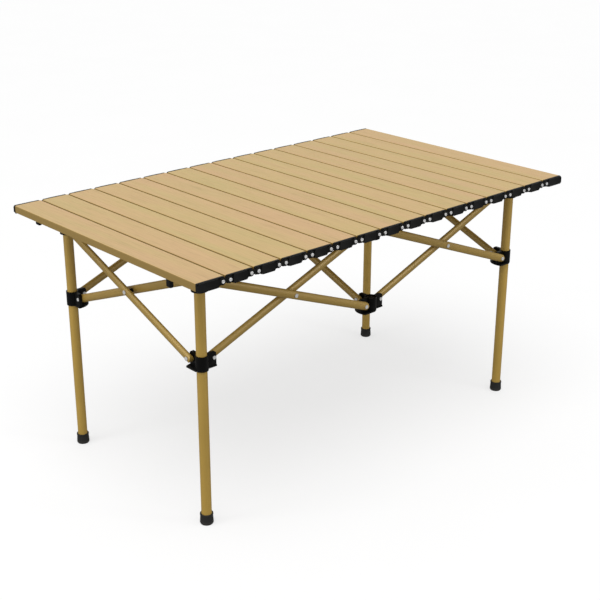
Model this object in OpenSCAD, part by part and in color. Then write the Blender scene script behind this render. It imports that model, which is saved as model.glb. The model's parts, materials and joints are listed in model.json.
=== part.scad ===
// Folding picnic table: a roll-up slatted top lying on a scissor frame with four legs.
// Origin on the floor under the middle of the top, +X along the top, +Z up.

/* [Tabletop] */
// Length of the top, across the slats
top_l = 950; // [900:5:1000]
// Width of the top, along the slats
top_w = 575; // [540:5:600]
// Height of the top face above the floor
table_h = 500; // [490:1:510]
// Thickness of a slat
slat_t = 14; // [13:0.5:15]
// Gap between the top edges of two slats
slat_gap = 3; // [1:0.1:3.5]
// How far each slat side leans in towards its underside
slat_lean = 2; // [1.5:0.1:2.5]
// Wall of the hollow slat
slat_wall = 1.1; // [1:0.1:1.5]
// Thickness of an end cap's plate
cap_t = 4; // [4:0.5:5]
// How far an end cap hangs below its slat
cap_drop = 2; // [1:0.5:3]
// Distance from a seam to each of its two screws
screw_inset = 7.6; // [7:0.1:8]

/* [Frame] */
// Spacing of the hubs with the frame open
hub_pitch = 410; // [400:1:415]
// Outside diameter of a leg
leg_d = 19; // [18:0.5:19]
// Wall of the leg and arm tubes
tube_wall = 1.2; // [1:0.1:1.5]
// Height of the upper arm pivots
pivot_top = 461; // [458:1:462]
// Height of the lower arm pivots with the frame open
pivot_low = 321; // [310:1:330]
// Distance from a hub's centre to an arm's pivot
pivot_out = 25; // [24.5:0.5:27]
// Depth of an arm tube
arm_h = 16; // [14:0.5:17]
// Thickness of an arm tube
arm_t = 10; // [9:0.5:11]
// Thickness of a hub's ear
ear_t = 6; // [5:0.5:8]

/* [Feet and clips] */
// Height of a rubber foot
foot_h = 21; // [18:1:25]
// Outside diameter of a rubber foot at the floor
foot_d = 25; // [24:0.5:27]
// Width of a clip block under the first slat
clip_w = 10; // [8:1:14]
// Height of the front clip block
clip_h = 15; // [12:1:16]
// Height of the back clip block
back_clip_h = 7; // [7:1:12]

/* [Hidden] */
$fn = 48;
SLATS = 16;
clear = 0.4;
pitch = (top_l + slat_gap) / SLATS;
slat_w = pitch - slat_gap;
slat_z = table_h - slat_t;
pin_z = table_h - slat_t / 2 - 0.5;
arm_off = ear_t / 2 + 0.5 + arm_t / 2;
arm_span = hub_pitch - 2 * pivot_out;
arm_len = norm([arm_span, pivot_top - pivot_low]);
arm_tilt = atan2(pivot_top - pivot_low, arm_span);
ring_up = 11;
ring_down = 17;
ring_r = leg_d / 2 + 2.2;
lip_r = leg_d / 2 + 5.2;
flange_t = 3;
ear_corner = 4;
ear_reach = pivot_out + 4.5;
plate_w = 2 * (arm_off + arm_t / 2);
rivet_r = 2.2;
rivet_head_r = 3.8;
rivet_head_t = 1.6;
tail_r = 3.4;
tail_t = 1.1;
spacer_r = 3.8;
section_steps = 32;
foot_base = 4;
leg_proud = 2.5;
fan_r = ear_reach + 0.5;
fan_back = ear_t / 2 + 1;
link_r = 6.2;
link_t = 2;
pad_t = 2.4;
screw_r = 1.8;
screw_head_r = 3;
screw_head_t = 1.4;
screw_l = 15;
screw_slot = 3.8;
plug_l = 12;
cap_recess = pad_t - 0.4;
seat_gap = 0.03;
pad_w = pitch - 2 * (screw_inset + link_r) - 1.2;
GOLD = [0.52, 0.43, 0.24];
BLACK = [0.09, 0.09, 0.1];
STEEL = [0.78, 0.79, 0.8];
WOOD = [0.83, 0.72, 0.52];

// Hub columns run -1, 0, 1 along X and rows run -1, 1 along Y.
HUBS = [
    ["front_left", -1, -1], ["front_middle", 0, -1], ["front_right", 1, -1],
    ["back_left", -1, 1], ["back_middle", 0, 1], ["back_right", 1, 1],
];
CORNERS = [for (h = HUBS) if (h[1] != 0) h];
// Each arm runs from the top of its first hub to the bottom of its second.
ARMS = [
    ["arm_front_left_outer", 0, 1], ["arm_front_left_inner", 1, 0],
    ["arm_front_right_outer", 1, 2], ["arm_front_right_inner", 2, 1],
    ["arm_back_left_outer", 4, 3], ["arm_back_left_inner", 3, 4],
    ["arm_back_right_outer", 5, 4], ["arm_back_right_inner", 4, 5],
    ["arm_left_outer", 3, 0], ["arm_left_inner", 0, 3],
    ["arm_middle_left", 4, 1], ["arm_middle_right", 1, 4],
    ["arm_right_outer", 2, 5], ["arm_right_inner", 5, 2],
];
// Each crossing rivet holds the pair of arms whose first arm has this place in ARMS.
CROSSINGS = [
    ["cross_rivet_front_left", 0], ["cross_rivet_front_right", 2],
    ["cross_rivet_back_left", 4], ["cross_rivet_back_right", 6],
    ["cross_rivet_left", 8], ["cross_rivet_middle", 10], ["cross_rivet_right", 12],
];

function two(n) = n < 10 ? str("0", n) : str(n);
function hub_xy(h) = [HUBS[h][1] * hub_pitch, HUBS[h][2] * hub_pitch / 2];
function heading(a, b) = let (d = hub_xy(b) - hub_xy(a)) atan2(d[1], d[0]);
// The directions in which a hub has neighbours.
function ears(h) = [for (a = ARMS) if (a[1] == h) heading(h, a[2])];
function lower_name(h) = str(HUBS[h][1] == 0 ? "lower_hub_" : "slider_", HUBS[h][0]);

// A straight cylinder along Y, from y to y + l.
module across(r, l, y = 0) {
    translate([0, y + l, 0]) rotate([90, 0, 0]) cylinder(r = r, h = l);
}

// --- tabletop ---

// How far the side towards -X (s = -1) or +X (s = 1) leans in; the outermost sides are upright.
function lean(k, s) = (k == 1 && s < 0) || (k == SLATS && s > 0) ? 0 : slat_lean;

// Slat section in X and Z, standing on its underside, with rounded top edges.
module slat_section(k, inset = 0) {
    w = slat_w / 2 - inset;
    edge = 1.5;
    polygon([
        [lean(k, -1) - w, inset], [w - lean(k, 1), inset], [w, slat_t - inset - edge],
        [w - edge * 0.3, slat_t - inset - edge * 0.3], [w - edge, slat_t - inset],
        [edge - w, slat_t - inset], [edge * 0.3 - w, slat_t - inset - edge * 0.3],
        [-w, slat_t - inset - edge],
    ]);
}

module slat_profile(k) {
    l = top_w - 2 * (cap_t + pad_t + seat_gap);
    color(WOOD)
        translate([0, l / 2, slat_z]) rotate([90, 0, 0]) difference() {
            linear_extrude(l) slat_section(k);
            translate([0, 0, -1]) linear_extrude(l + 2) slat_section(k, slat_wall);
        }
}

// End cap at -Y: plate, plug into the slat, raised pad, screw holes. The pad of the first and
// last cap runs out to the corner of the top, where there is no link. Next to a seam the plate's
// top corner is cut back, and only the pad hangs below the slat.
module end_cap(k) {
    left = k == 1 ? -slat_w / 2 : -pad_w / 2;
    right = k == SLATS ? slat_w / 2 : pad_w / 2;
    top = slat_t + cap_drop;
    cut_left = k == 1 ? 1 : 3.5;
    cut_right = k == SLATS ? 1 : 3.5;
    color(BLACK) translate([0, -top_w / 2, slat_z - cap_drop]) difference() {
        union() {
            translate([0, pad_t + cap_t, 0]) rotate([90, 0, 0]) linear_extrude(cap_t) polygon([
                [lean(k, -1) - slat_w / 2, cap_drop], [left + 1, cap_drop], [left + 1, 0],
                [right - 1, 0], [right - 1, cap_drop], [slat_w / 2 - lean(k, 1), cap_drop],
                [slat_w / 2, top - cut_right], [slat_w / 2 - cut_right, top],
                [cut_left - slat_w / 2, top], [-slat_w / 2, top - cut_left],
            ]);
            translate([0, pad_t + cap_t + plug_l, cap_drop]) rotate([90, 0, 0])
                linear_extrude(plug_l + 0.01) slat_section(k, slat_wall + 0.1);
            translate([0, pad_t, 0]) rotate([90, 0, 0]) linear_extrude(pad_t) polygon([
                [left + 2.5, 0], [right - 2.5, 0], [right, 3], [right, top - 3.5],
                [right - 2.5, top - 0.6], [left + 2.5, top - 0.6], [left, top - 3.5], [left, 3],
            ]);
        }
        for (s = [-1, 1]) if (lean(k, s) > 0)
            translate([s * (pitch / 2 - screw_inset), 0, pin_z - slat_z + cap_drop])
                across(screw_r, pad_t + cap_t + plug_l);
    }
}

// Link plate at -Y: two round eyes joined by a waist; one eye turns on the next slat's screw.
module link_plate() {
    color(BLACK)
        translate([pitch / 2, -top_w / 2 + cap_recess - link_t + 0.1, pin_z]) difference() {
            union() {
                for (s = [-1, 1]) translate([s * screw_inset, 0, 0]) across(link_r, link_t);
                translate([-screw_inset, 0, -3.6]) cube([2 * screw_inset, link_t, 7.2]);
            }
            translate([-screw_inset, -1, 0]) across(screw_r, link_t + 2);
            translate([screw_inset, -1, 0]) across(screw_r + 0.1, link_t + 2);
        }
}

// Pan-head screw at -Y with a cross recess, its shank in the cap.
module cap_screw() {
    front = -top_w / 2 + cap_recess - link_t;
    color(STEEL) translate([0, front, pin_z]) difference() {
        union() {
            across(screw_head_r, screw_head_t, -screw_head_t + 0.05);
            across(screw_r - 0.05, screw_l, 0);
        }
        for (a = [0, 90]) rotate([0, a, 0])
            translate([-screw_slot / 2, -screw_head_t - 1, -0.4]) cube([screw_slot, 1.9, 0.8]);
    }
}

module slat(k) {
    translate([(k - (SLATS + 1) / 2) * pitch, 0, 0]) {
        slat_profile(k);
        for (m = [0, 1]) mirror([0, m, 0]) {
            end_cap(k);
            if (k < SLATS) link_plate();
            if (k > 1) translate([screw_inset - pitch / 2, 0, 0]) cap_screw();
            if (k < SLATS) translate([pitch / 2 - screw_inset, 0, 0]) cap_screw();
        }
    }
}

// Two blocks under the first slat that keep the top from sliding off the corner hubs.
module tabletop_clips() {
    deep = 8;
    bevel = 2;
    color(BLACK) for (clip = [[-1, clip_h], [1, back_clip_h]])
        translate([1.5 - top_l / 2, clip[0] * hub_pitch / 2 + clip_w / 2, slat_z - 0.02])
            rotate([90, 0, 0]) linear_extrude(clip_w) polygon([
                [0, 0], [0, bevel - clip[1]], [bevel, -clip[1]],
                [deep - bevel, -clip[1]], [deep, bevel - clip[1]], [deep, 0],
            ]);
}

// --- legs ---

module leg(h) {
    l = pivot_top + ring_down + leg_proud - foot_base;
    color(GOLD) translate([h[1] * hub_pitch, h[2] * hub_pitch / 2, foot_base]) difference() {
        cylinder(d = leg_d, h = l);
        translate([0, 0, -1]) cylinder(d = leg_d - 2 * tube_wall, h = l + 2);
    }
}

// Rubber cup around the bottom of a leg: rounded at the floor, thin lip at the top.
module foot(h) {
    r = foot_d / 2;
    bore = leg_d / 2;
    color(BLACK) translate([h[1] * hub_pitch, h[2] * hub_pitch / 2, 0]) rotate_extrude()
        polygon([
            [0, 0], [r - 2.5, 0], [r - 1.2, 0.6], [r - 0.3, 2], [r, 3.6],
            [r - 0.9, foot_h - 3], [r - 0.3, foot_h - 2.4], [r - 0.5, foot_h],
            [bore, foot_h], [bore, foot_base], [0, foot_base],
        ]);
}

// --- hubs, drawn about the pivot height with the flange below ---

// Upright ear with a rounded top corner.
module ear(angle) {
    root = ring_r - 2;
    foot = flange_t - ring_down - 0.5;
    rotate(angle) {
        translate([root, -ear_t / 2, foot])
            cube([ear_reach - root, ear_t, ring_up - ear_corner - foot]);
        translate([root, -ear_t / 2, foot])
            cube([ear_reach - ear_corner - root, ear_t, ring_up - foot]);
        translate([ear_reach - ear_corner, 0, ring_up - ear_corner])
            across(ear_corner, ear_t, -ear_t / 2);
    }
}

// The first of each two ears of a hub that stand at right angles.
function fans(h) = [for (a = ears(h)) for (b = ears(h)) if ((b - a + 360) % 360 == 90) a];

// Flange that fills the corner between two ears, with a round rim.
module flange_fan(angle) {
    rotate(angle) translate([0, 0, -ring_down]) intersection() {
        cylinder(r = fan_r, h = flange_t);
        translate([-fan_back, -fan_back, -1])
            cube([fan_back + fan_r, fan_back + fan_r, flange_t + 2]);
    }
}

// Flange under one arm, on the side of the ear where the arm lies.
module flange_wing(angle, side) {
    rotate(angle) translate([0, 0, -ring_down]) mirror([0, side > 0 ? 0 : 1, 0]) intersection() {
        cylinder(r = fan_r, h = flange_t);
        translate([0, -fan_back, -1]) cube([fan_r, fan_back + plate_w / 2, flange_t + 2]);
    }
}

// Bore for a leg on the corner hubs; the middle hubs are closed, with a shallow dish.
module hub_bore(h) {
    r = leg_d / 2 + clear;
    deep = 1.5;
    if (HUBS[h][1] == 0) translate([0, 0, ring_up - deep]) cylinder(r = r, h = deep + 1);
    else translate([0, 0, -ring_down - 4]) cylinder(r = r, h = ring_up + ring_down + 6);
}

module hub_moulding(h, side) {
    color(BLACK) difference() {
        union() {
            translate([0, 0, -ring_down]) cylinder(r = ring_r, h = ring_down + ring_up);
            for (a = ears(h)) {
                ear(a);
                flange_wing(a, side);
            }
            for (a = fans(h)) flange_fan(a);
        }
        hub_bore(h);
        for (a = ears(h)) rotate(a) translate([pivot_out, 0, 0])
            across(rivet_r, ear_t + 2, -ear_t / 2 - 1);
    }
}

// Rivets through each ear and the arm on its side; the head lies on the arm.
module end_rivets(h, side) {
    l = ear_t + 0.5 + arm_t + 0.2;
    color(STEEL) for (a = ears(h)) rotate(a) translate([pivot_out, 0, 0])
        mirror([0, side > 0 ? 0 : 1, 0]) {
            across(rivet_r - seat_gap, l + 1, -ear_t / 2 - 0.5);
            across(rivet_head_r, rivet_head_t, l - ear_t / 2);
            across(tail_r, tail_t, -ear_t / 2 - tail_t - seat_gap);
        }
}

module lower_hub(h) {
    translate([hub_xy(h)[0], hub_xy(h)[1], pivot_low]) {
        hub_moulding(h, 1);
        end_rivets(h, 1);
    }
}

// The same moulding turned over, with a lip around its mouth and a pad above for the slats.
module top_hub(h) {
    pad_z = slat_z - 0.4 - pivot_top;
    translate([hub_xy(h)[0], hub_xy(h)[1], pivot_top]) {
        mirror([0, 0, 1]) hub_moulding(h, -1);
        color(BLACK) difference() {
            union() {
                translate([0, 0, ring_down - 0.01]) cylinder(r = ring_r + 1.5, h = pad_z - ring_down);
                translate([0, 0, -ring_up]) cylinder(r = lip_r, h = flange_t);
            }
            mirror([0, 0, 1]) hub_bore(h);
        }
        end_rivets(h, -1);
    }
}

// --- arms ---

// Oval tube along X from pivot to pivot, centred on Y, holes at both ends and the middle.
module arm_tube() {
    difference() {
        arm_bar(arm_h / 2, arm_t);
        arm_bar(arm_h / 2 - tube_wall, arm_t - 2 * tube_wall);
        for (x = [0, arm_len / 2, arm_len])
            translate([x, 0, 0]) across(rivet_r + 0.05, arm_t + 2, -arm_t / 2 - 1);
    }
}

// Bar of oval section, r high each way and t thick, its ends round about the pivots.
module arm_bar(r, t) {
    intersection() {
        translate([-r, 0, 0]) rotate([90, 0, 90]) linear_extrude(arm_len + 2 * r)
            polygon([for (i = [0:section_steps - 1]) let (a = 360 * i / section_steps)
                [t / 2 * cos(a), r * sin(a)]]);
        union() {
            translate([0, -t, -r]) cube([arm_len, 2 * t, 2 * r]);
            for (x = [0, arm_len]) translate([x, 0, 0]) across(r, 2 * t, -t);
        }
    }
}

// Puts its children at the first pivot of an arm, X along the arm.
module along_arm(a) {
    translate([hub_xy(a[1])[0], hub_xy(a[1])[1], pivot_top]) rotate(heading(a[1], a[2]))
        translate([pivot_out, 0, 0]) rotate([0, arm_tilt, 0]) children();
}

module arm(a) {
    color(GOLD) along_arm(a) translate([0, -arm_off, 0]) arm_tube();
}

// Rivet and spacer where two arms cross; the rivet stands in the first arm.
module cross_rivet(a) {
    reach = arm_off + arm_t / 2 + 0.2;
    gap = 2 * arm_off - arm_t - 0.4;
    along_arm(a) translate([arm_len / 2, 0, 0]) {
        color(STEEL) {
            across(rivet_r - seat_gap, 2 * reach, -reach);
            across(rivet_head_r, rivet_head_t, -reach - rivet_head_t + 0.01);
            across(rivet_head_r, rivet_head_t, reach - 0.01);
        }
        color(BLACK) difference() {
            across(spacer_r, gap, -gap / 2);
            across(rivet_r, gap + 2, -gap / 2 - 1);
        }
    }
}

for (k = [1:SLATS]) slat(k);
tabletop_clips();
for (c = CORNERS) leg(c);
for (c = CORNERS) foot(c);
for (h = [0:len(HUBS) - 1]) top_hub(h);
for (h = [0:len(HUBS) - 1]) lower_hub(h);
for (a = ARMS) arm(a);
for (c = CROSSINGS) cross_rivet(ARMS[c[1]]);
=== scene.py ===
import json
import math

import bmesh
import bpy
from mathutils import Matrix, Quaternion, Vector


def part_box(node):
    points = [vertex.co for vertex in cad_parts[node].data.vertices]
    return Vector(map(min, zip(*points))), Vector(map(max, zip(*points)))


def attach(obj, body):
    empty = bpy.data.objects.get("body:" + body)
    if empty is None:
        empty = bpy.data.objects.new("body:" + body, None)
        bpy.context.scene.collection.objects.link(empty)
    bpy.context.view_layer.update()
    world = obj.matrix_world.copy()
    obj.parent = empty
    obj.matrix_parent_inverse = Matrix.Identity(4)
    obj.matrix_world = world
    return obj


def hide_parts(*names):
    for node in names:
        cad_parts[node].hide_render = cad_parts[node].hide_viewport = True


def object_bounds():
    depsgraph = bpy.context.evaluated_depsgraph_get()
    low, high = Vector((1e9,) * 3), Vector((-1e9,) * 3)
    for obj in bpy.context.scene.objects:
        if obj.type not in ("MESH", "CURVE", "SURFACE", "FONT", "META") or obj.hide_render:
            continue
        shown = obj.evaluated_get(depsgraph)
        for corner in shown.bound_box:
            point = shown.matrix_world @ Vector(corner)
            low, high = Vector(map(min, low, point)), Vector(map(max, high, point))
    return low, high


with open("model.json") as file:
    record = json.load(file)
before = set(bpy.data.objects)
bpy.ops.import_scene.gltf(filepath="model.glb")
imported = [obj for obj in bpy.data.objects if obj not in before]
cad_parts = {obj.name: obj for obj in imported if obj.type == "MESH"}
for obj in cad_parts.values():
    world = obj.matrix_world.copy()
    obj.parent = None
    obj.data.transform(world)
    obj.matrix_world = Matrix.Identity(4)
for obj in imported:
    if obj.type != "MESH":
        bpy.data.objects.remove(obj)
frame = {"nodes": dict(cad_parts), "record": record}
CAD_BOX = [list(corner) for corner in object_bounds()]
NODES = frame["nodes"]
BODY_OF = {n: b for b, members in frame["record"]["behaviour"]["bodies"].items() for n in members}

# ---------------------------------------------------------------- node helpers


def new_material(name):
    m = bpy.data.materials.new(name)
    m.use_nodes = True
    tree = m.node_tree
    tree.nodes.clear()
    out = tree.nodes.new("ShaderNodeOutputMaterial")
    shader = tree.nodes.new("ShaderNodeBsdfPrincipled")
    tree.links.new(shader.outputs["BSDF"], out.inputs["Surface"])
    return m, tree, shader


def add(tree, kind, **inputs):
    """A shader node with its inputs set: by name, or i0, i1 by number. A socket as a value is linked."""
    node = tree.nodes.new("ShaderNode" + kind)
    for key, value in inputs.items():
        numbered = key[0] == "i" and key[1:].isdigit()
        socket = node.inputs[int(key[1:]) if numbered else key]
        if isinstance(value, bpy.types.NodeSocket):
            tree.links.new(value, socket)
        else:
            socket.default_value = value
    return node


def math_node(tree, operation, a, b=0.0):
    node = add(tree, "Math", i0=a, i1=b)
    node.operation = operation
    return node.outputs[0]


def ramp(tree, fac, stops):
    """A colour ramp with a (place, colour) pair for each stop."""
    node = add(tree, "ValToRGB", Fac=fac)
    elements = node.color_ramp.elements
    while len(elements) < len(stops):
        elements.new(0.5)
    for element, (place, colour) in zip(elements, stops):
        element.position = place
        element.color = (*colour, 1)
    return node.outputs["Color"]


def grey(v):
    return (v, v, v)


# a Mix node lists its sockets for every data type; these are the factor and the colours
MIX_FACTOR, MIX_A, MIX_B, MIX_RESULT = 0, 6, 7, 2


def mix(tree, fac, a, b, blend="MIX"):
    node = tree.nodes.new("ShaderNodeMix")
    node.data_type = "RGBA"
    node.blend_type = blend
    for number, value in ((MIX_FACTOR, fac), (MIX_A, a), (MIX_B, b)):
        socket = node.inputs[number]
        if isinstance(value, bpy.types.NodeSocket):
            tree.links.new(value, socket)
        else:
            socket.default_value = (*value, 1) if isinstance(value, tuple) else value
    return node.outputs[MIX_RESULT]


def object_coords(tree):
    return tree.nodes.new("ShaderNodeTexCoord").outputs["Object"]


def noise(tree, vector, scale, detail=3.0, rough=0.55):
    node = add(tree, "TexNoise", Vector=vector, Scale=scale, Detail=detail, Roughness=rough)
    return node.outputs["Fac"]


def edge_highlight_mask(tree, amount):
    """Rises from 0 on flat faces to the given amount on convex edges, where a painted highlight goes."""
    point = tree.nodes.new("ShaderNodeNewGeometry").outputs["Pointiness"]
    return ramp(tree, point, [(0.52, grey(0)), (0.6, grey(amount))])


def bump(tree, shader, height, strength, distance):
    node = add(tree, "Bump", Height=height, Strength=strength, Distance=distance)
    tree.links.new(node.outputs[0], shader.inputs["Normal"])


# ---------------------------------------------------------------- materials

SLATS = 16
# from one slat's edge to the next slat's
PITCH = (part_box("slat_16")[0][0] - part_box("slat_01")[0][0]) / (SLATS - 1)

# how far along X the grain pattern jumps from one slat to the next
GRAIN_SHIFT = 7.31
# how far the grain is drawn out along a slat: the finer streaks more than the broad bands
STREAK_STRETCH = (1, 0.03, 1)
BAND_STRETCH = (1, 0.09, 1)
SIDE_GOLD = (0.315, 0.205, 0.055)


def wood_film():
    """Printed wood-grain film on aluminium: fine grain along Y, tint changing from slat to slat,
    bare golden metal on the sides."""
    m, t, s = new_material("slat_wood_film")
    coords = object_coords(t)
    xyz = add(t, "SeparateXYZ", Vector=coords)
    along = math_node(t, "DIVIDE", math_node(t, "SUBTRACT", xyz.outputs[0], CAD_BOX[0][0]), PITCH)
    number = math_node(t, "FLOOR", along)
    seed = add(t, "CombineXYZ", X=math_node(t, "MULTIPLY", number, GRAIN_SHIFT), Y=0.0, Z=0.0).outputs[0]
    moved = add(t, "VectorMath", i0=coords, i1=seed)
    moved.operation = "ADD"
    streak = add(t, "Mapping", Vector=moved.outputs[0], Scale=STREAK_STRETCH).outputs[0]
    broad = add(t, "Mapping", Vector=moved.outputs[0], Scale=BAND_STRETCH).outputs[0]
    fine = noise(t, streak, scale=1100, detail=4, rough=0.6)
    medium = noise(t, streak, scale=300, detail=4, rough=0.65)
    wide = noise(t, broad, scale=30, detail=3, rough=0.5)
    tint = add(t, "TexWhiteNoise", Vector=seed)
    base = ramp(t, tint.outputs["Value"], [
        (0.0, (0.545, 0.400, 0.165)), (0.3, (0.580, 0.405, 0.180)), (0.55, (0.575, 0.380, 0.185)),
        (0.8, (0.520, 0.395, 0.170)), (1.0, (0.590, 0.400, 0.190)),
    ])
    bands = ramp(t, wide, [
        (0.30, (0.505, 0.405, 0.165)), (0.46, (0.560, 0.402, 0.178)), (0.64, (0.600, 0.385, 0.200)),
    ])
    colour = mix(t, 0.5, base, bands)
    fine_part = math_node(t, "MULTIPLY", fine, 0.45)
    medium_part = math_node(t, "MULTIPLY", medium, 0.55)
    grain = math_node(t, "ADD", fine_part, medium_part)
    dark = ramp(t, grain, [(0.34, grey(0.80)), (0.48, grey(0.98)), (0.66, grey(1.06))])
    colour = mix(t, 1.0, colour, dark, "MULTIPLY")
    # the sides show bare gold-coloured metal
    geometry = t.nodes.new("ShaderNodeNewGeometry")
    facing = add(t, "VectorTransform", Vector=geometry.outputs["Normal"])
    facing.vector_type = "NORMAL"
    facing.convert_from = "WORLD"
    facing.convert_to = "OBJECT"
    up = add(t, "SeparateXYZ", Vector=facing.outputs[0])
    top = ramp(t, up.outputs[2], [(0.55, grey(0)), (0.9, grey(1))])
    colour = mix(t, top, SIDE_GOLD, colour)
    t.links.new(colour, s.inputs["Base Color"])
    rough = ramp(t, grain, [(0.3, grey(0.50)), (0.7, grey(0.40))])
    t.links.new(rough, s.inputs["Roughness"])
    s.inputs["Specular IOR Level"].default_value = 0.35
    bump(t, s, grain, strength=0.12, distance=0.0004)
    return m


def painted(name, base, rough):
    """Satin metallic paint: fine flake specks painted lighter as painted glints, orange peel and faint
    cloudiness.
    """
    m, t, s = new_material(name)
    c = object_coords(t)
    cloudy = noise(t, c, scale=9, detail=3)
    flake_glints = noise(t, c, scale=2600, detail=1)
    peel = noise(t, c, scale=420, detail=2)
    light = tuple(v * 1.08 for v in base)
    dark = tuple(v * 0.92 for v in base)
    glint = tuple(v * 1.45 for v in base)
    colour = mix(t, ramp(t, cloudy, [(0.3, grey(0)), (0.7, grey(1))]), dark, light)
    # painted glints: fine flake specks made lighter in the base colour
    colour = mix(t, ramp(t, flake_glints, [(0.45, grey(0)), (0.75, grey(0.18))]), colour, glint)
    t.links.new(colour, s.inputs["Base Color"])
    t.links.new(ramp(t, peel, [(0.3, grey(rough - 0.03)), (0.7, grey(rough + 0.04))]),
                s.inputs["Roughness"])
    s.inputs["Metallic"].default_value = 0.15
    s.inputs["Specular IOR Level"].default_value = 0.6
    bump(t, s, peel, strength=0.03, distance=0.0001)
    return m


def plastic(name, base, rough, grain_scale):
    """Moulded black plastic: fine spark-eroded texture, edges painted paler as a painted highlight."""
    m, t, s = new_material(name)
    c = object_coords(t)
    texture = noise(t, c, scale=grain_scale, detail=3, rough=0.6)
    patches = noise(t, c, scale=38, detail=3)
    deep = (base, base, base * 0.98)
    faded = (base * 1.9, base * 1.9, base * 1.8)
    painted_edge_highlight = (base * 6, base * 6, base * 5.8)
    colour = mix(t, ramp(t, patches, [(0.35, grey(0)), (0.7, grey(1))]), deep, faded)
    # painted highlight: convex edges made paler in the base colour
    colour = mix(t, edge_highlight_mask(t, 0.55), colour, painted_edge_highlight)
    t.links.new(colour, s.inputs["Base Color"])
    t.links.new(ramp(t, texture, [(0.3, grey(rough - 0.06)), (0.7, grey(rough + 0.12))]),
                s.inputs["Roughness"])
    s.inputs["Specular IOR Level"].default_value = 0.11
    bump(t, s, texture, strength=0.22, distance=0.0002)
    return m


def rubber():
    """Dull black rubber, dusty near the floor."""
    m, t, s = new_material("foot_rubber")
    c = object_coords(t)
    texture = noise(t, c, scale=1100, detail=3)
    dust = noise(t, c, scale=60, detail=4)
    height = add(t, "SeparateXYZ", Vector=c).outputs[2]
    low = ramp(t, math_node(t, "MULTIPLY", height, 120.0), [(0.05, grey(0.5)), (1.0, grey(0.0))])
    colour = mix(t, dust, (0.019, 0.019, 0.018), (0.034, 0.034, 0.032))
    colour = mix(t, low, colour, (0.085, 0.08, 0.07))
    t.links.new(colour, s.inputs["Base Color"])
    t.links.new(ramp(t, texture, [(0.3, grey(0.55)), (0.7, grey(0.72))]), s.inputs["Roughness"])
    s.inputs["Specular IOR Level"].default_value = 0.2
    bump(t, s, texture, strength=0.3, distance=0.0003)
    return m


def steel():
    """Bright plated steel with duller spots."""
    m, t, s = new_material("rivet_steel")
    c = object_coords(t)
    fine = noise(t, c, scale=3200, detail=2)
    spots = noise(t, c, scale=420, detail=3)
    bright = (0.92, 0.92, 0.91)
    dull = (0.62, 0.60, 0.56)
    colour = mix(t, ramp(t, spots, [(0.5, grey(0)), (0.8, grey(0.5))]), bright, dull)
    t.links.new(colour, s.inputs["Base Color"])
    t.links.new(ramp(t, fine, [(0.3, grey(0.18)), (0.7, grey(0.34))]), s.inputs["Roughness"])
    s.inputs["Metallic"].default_value = 0.45
    s.inputs["Coat Weight"].default_value = 0.6
    s.inputs["Coat Roughness"].default_value = 0.12
    bump(t, s, fine, strength=0.1, distance=0.0001)
    return m


WOOD = wood_film()
LEG_PAINT = painted("leg_paint", (0.540, 0.348, 0.072), rough=0.40)
# painted shade: the arms take the leg paint made darker, for the shade under the tabletop
SHADED_ARM_PAINT = painted("arm_paint", (0.440, 0.285, 0.062), rough=0.37)
CAP_PLASTIC = plastic("cap_plastic", 0.0032, rough=0.33, grain_scale=1500)
LINK_PLASTIC = plastic("link_plastic", 0.0042, rough=0.30, grain_scale=1900)
HUB_PLASTIC = plastic("hub_plastic", 0.0030, rough=0.31, grain_scale=1200)
RUBBER = rubber()
STEEL = steel()

# ---------------------------------------------------------------- pieces

# metres: corners of a CAD mesh nearer than this are one
WELD = 2e-6
# edges between faces flatter than this are dissolved, and sharper than SHARP are bevelled
FLAT = math.radians(0.5)
SHARP = math.radians(28)


def soften(obj, width, segments):
    """Rounds the edges of a piece with a bevel that leaves flat faces flat."""
    bevel = obj.modifiers.new("soft_edges", "BEVEL")
    bevel.width = width
    bevel.segments = segments
    bevel.limit_method = "ANGLE"
    bevel.angle_limit = SHARP
    obj.data.polygons.foreach_set("use_smooth", [True] * len(obj.data.polygons))
    weighted = obj.modifiers.new("flat_normals", "WEIGHTED_NORMAL")
    weighted.keep_sharp = True
    weighted.weight = 80


def islands(mesh):
    """The separate solids of a CAD mesh, welded and with flat faces joined, as bmeshes."""
    whole = bmesh.new()
    whole.from_mesh(mesh)
    bmesh.ops.remove_doubles(whole, verts=whole.verts, dist=WELD)
    seen = set()
    found = []
    for start in whole.verts:
        if start.index in seen:
            continue
        stack = [start]
        seen.add(start.index)
        members = []
        while stack:
            v = stack.pop()
            members.append(v)
            for e in v.link_edges:
                w = e.other_vert(v)
                if w.index not in seen:
                    seen.add(w.index)
                    stack.append(w)
        found.append(members)
    solids = []
    for members in found:
        part = bmesh.new()
        copy = {v: part.verts.new(v.co) for v in members}
        for f in dict.fromkeys(f for v in members for f in v.link_faces):
            part.faces.new([copy[v] for v in f.verts])
        bmesh.ops.dissolve_limit(part, angle_limit=FLAT, verts=part.verts, edges=part.edges)
        bmesh.ops.recalc_face_normals(part, faces=part.faces)
        solids.append(part)
    whole.free()
    return solids


def size_of(part):
    """How far a solid reaches along X, Y and Z."""
    places = [v.co for v in part.verts]
    return Vector([max(p[i] for p in places) - min(p[i] for p in places) for i in range(3)])


def join(parts):
    """One bmesh that holds all the given ones."""
    whole = bmesh.new()
    for part in parts:
        mesh = bpy.data.meshes.new("part")
        part.to_mesh(mesh)
        whole.from_mesh(mesh)
        bpy.data.meshes.remove(mesh)
    return whole


def piece(name, parts, node, material, bevel, segments=2):
    """One piece made of the given solids of a CAD node, riding on its body."""
    mesh = bpy.data.meshes.new(name)
    whole = join(parts)
    whole.to_mesh(mesh)
    whole.free()
    obj = bpy.data.objects.new(name, mesh)
    bpy.context.scene.collection.objects.link(obj)
    mesh.materials.append(material)
    soften(obj, bevel, segments)
    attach(obj, BODY_OF[node])
    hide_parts(node)


def sort_solids(node, rule):
    """The solids of a CAD node in groups, named by a rule that looks at their size."""
    groups = {}
    for part in islands(NODES[node].data):
        groups.setdefault(rule(size_of(part)), []).append(part)
    return groups


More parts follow.
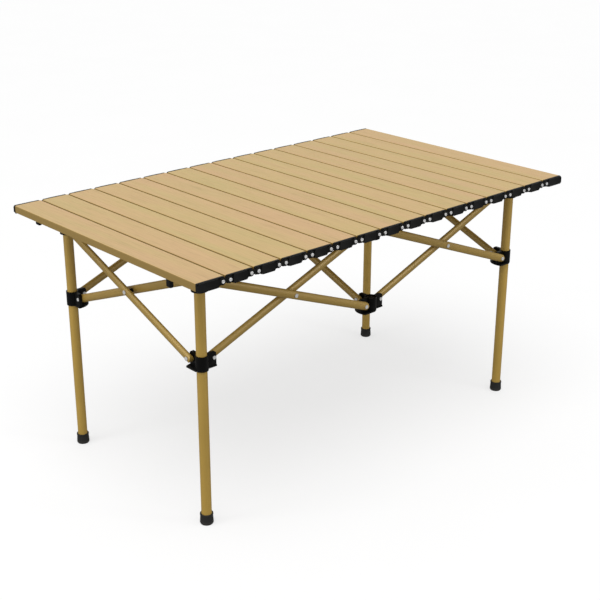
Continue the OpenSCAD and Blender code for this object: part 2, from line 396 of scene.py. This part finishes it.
# metres: sizes that only the named solid passes in its own node
BOARD_MIN_L = 0.3
CAP_MIN_W = 0.04
SCREW_MIN_L = 0.006
MOULDING_MIN = 0.025
PIN_MIN_L = 0.02


def slat_rule(size):
    if size.y > BOARD_MIN_L:
        return "board"
    if size.x > CAP_MIN_W:
        return "caps"
    return "screws" if size.y > SCREW_MIN_L else "links"


def hub_rule(size):
    return "moulding" if max(size) > MOULDING_MIN else "rivets"


def cross_rule(size):
    return "pin" if max(size) > PIN_MIN_L else "spacer"


# material, slot, name ending and bevel of the nodes that stay one piece, by a node's first word
PLAIN = {
    "arm": (SHADED_ARM_PAINT, "arm", "_tube", 0.0006),
    "leg": (LEG_PAINT, "leg", "_tube", 0.0004),
    "foot": (RUBBER, "foot", "_rubber", 0.0006),
    "tabletop": (CAP_PLASTIC, "end_cap", "_blocks", 0.0008),
}

for node in sorted(NODES):
    if node.startswith("slat_"):
        groups = sort_solids(node, slat_rule)
        piece(node + "_board", groups["board"], node, WOOD, bevel=0.0005)
        piece(node + "_caps", groups["caps"], node, CAP_PLASTIC, bevel=0.0009, segments=3)
        if "links" in groups:
            piece(node + "_links", groups["links"], node, LINK_PLASTIC, bevel=0.0004)
        piece(node + "_screws", groups["screws"], node, STEEL, bevel=0.0003)
    elif "hub" in node or node.startswith("slider"):
        groups = sort_solids(node, hub_rule)
        piece(node + "_moulding", groups["moulding"], node, HUB_PLASTIC, bevel=0.0009, segments=3)
        piece(node + "_rivets", groups["rivets"], node, STEEL, bevel=0.0007, segments=3)
    elif node.startswith("cross_rivet"):
        groups = sort_solids(node, cross_rule)
        piece(node + "_pin", groups["pin"], node, STEEL, bevel=0.0007, segments=3)
        piece(node + "_spacer", groups["spacer"], node, HUB_PLASTIC, bevel=0.0005)
    else:
        material, slot, ending, bevel = PLAIN[node.split("_")[0]]
        piece(node + ending, islands(NODES[node].data), node, material, bevel)

# ---------------------------------------------------------------- stage, light, camera

FLOOR_SIZE = 60


def floor_plane(name, height, shade, glow):
    """A pale floor; glow lets it stay near white where a soft shadow falls on it."""
    bpy.ops.mesh.primitive_plane_add(size=FLOOR_SIZE, location=(0, 0, height))
    floor = bpy.context.object
    floor.name = name
    m, t, s = new_material(name + "_paint")
    mottle = noise(t, object_coords(t), scale=3, detail=2)
    t.links.new(ramp(t, mottle, [(0.3, grey(shade)), (0.7, grey(shade * 1.02))]),
                s.inputs["Base Color"])
    s.inputs["Roughness"].default_value = 0.9
    s.inputs["Specular IOR Level"].default_value = 0.0
    s.inputs["Emission Color"].default_value = (1, 1, 1, 1)
    s.inputs["Emission Strength"].default_value = glow
    floor.data.materials.append(m)
    return floor


def studio():
    """The floor that is seen is nearly white; the one that lights the table from below is greyer."""
    seen = floor_plane("floor", height=0, shade=0.30, glow=0.66)
    seen.visible_diffuse = False
    seen.visible_glossy = False
    below = floor_plane("floor_bounce", height=-0.002, shade=0.50, glow=0.0)
    below.visible_camera = False
    world = bpy.data.worlds.new("studio")
    world.use_nodes = True
    background = world.node_tree.nodes["Background"]
    background.inputs["Color"].default_value = (1, 1, 1, 1)
    background.inputs["Strength"].default_value = 0.55
    bpy.context.scene.world = world


def area(name, place, target, size, power):
    """A rectangle of light at a place, facing a target."""
    light = bpy.data.lights.new(name, "AREA")
    light.shape = "RECTANGLE"
    light.size, light.size_y = size
    light.energy = power
    obj = bpy.data.objects.new(name, light)
    obj.location = place
    obj.rotation_euler = (Vector(target) - Vector(place)).to_track_quat("-Z", "Y").to_euler()
    bpy.context.scene.collection.objects.link(obj)


def overhead(strength, spread, lean):
    """A broad even light from above, spread over an angle in degrees."""
    light = bpy.data.lights.new("overhead", "SUN")
    light.energy = strength
    light.angle = math.radians(spread)
    obj = bpy.data.objects.new("overhead", light)
    obj.rotation_euler = Vector(lean).to_track_quat("Z", "Y").to_euler()
    bpy.context.scene.collection.objects.link(obj)


bpy.context.scene.view_settings.view_transform = "Standard"
studio()
overhead(strength=1.75, spread=50, lean=(-0.30, -0.22, 1))
AIM = (0, 0, 0.3)
area("left_strip", (-2.4, 0.6, 1.0), AIM, size=(0.8, 1.8), power=13)
area("right_strip", (1.2, -2.4, 1.0), AIM, size=(0.6, 1.6), power=12)

LENS = 70.0
SENSOR = 36
# yaw turns from +Y towards +X
YAW, PITCH_DOWN, ROLL = math.radians(42.263), math.radians(21.610), math.radians(0.094)
PLACE = Vector((-1.50537, -1.65960, 1.15151))
camera = bpy.data.cameras.new("camera")
camera.lens = LENS
camera.sensor_width = SENSOR
eye = bpy.data.objects.new("camera", camera)
forward = Vector((math.sin(YAW) * math.cos(PITCH_DOWN), math.cos(YAW) * math.cos(PITCH_DOWN),
                  -math.sin(PITCH_DOWN)))
eye.location = PLACE
eye.rotation_euler = (forward.to_track_quat("-Z", "Y") @ Quaternion((0, 0, 1), ROLL)).to_euler()
bpy.context.scene.collection.objects.link(eye)
bpy.context.scene.camera = eye
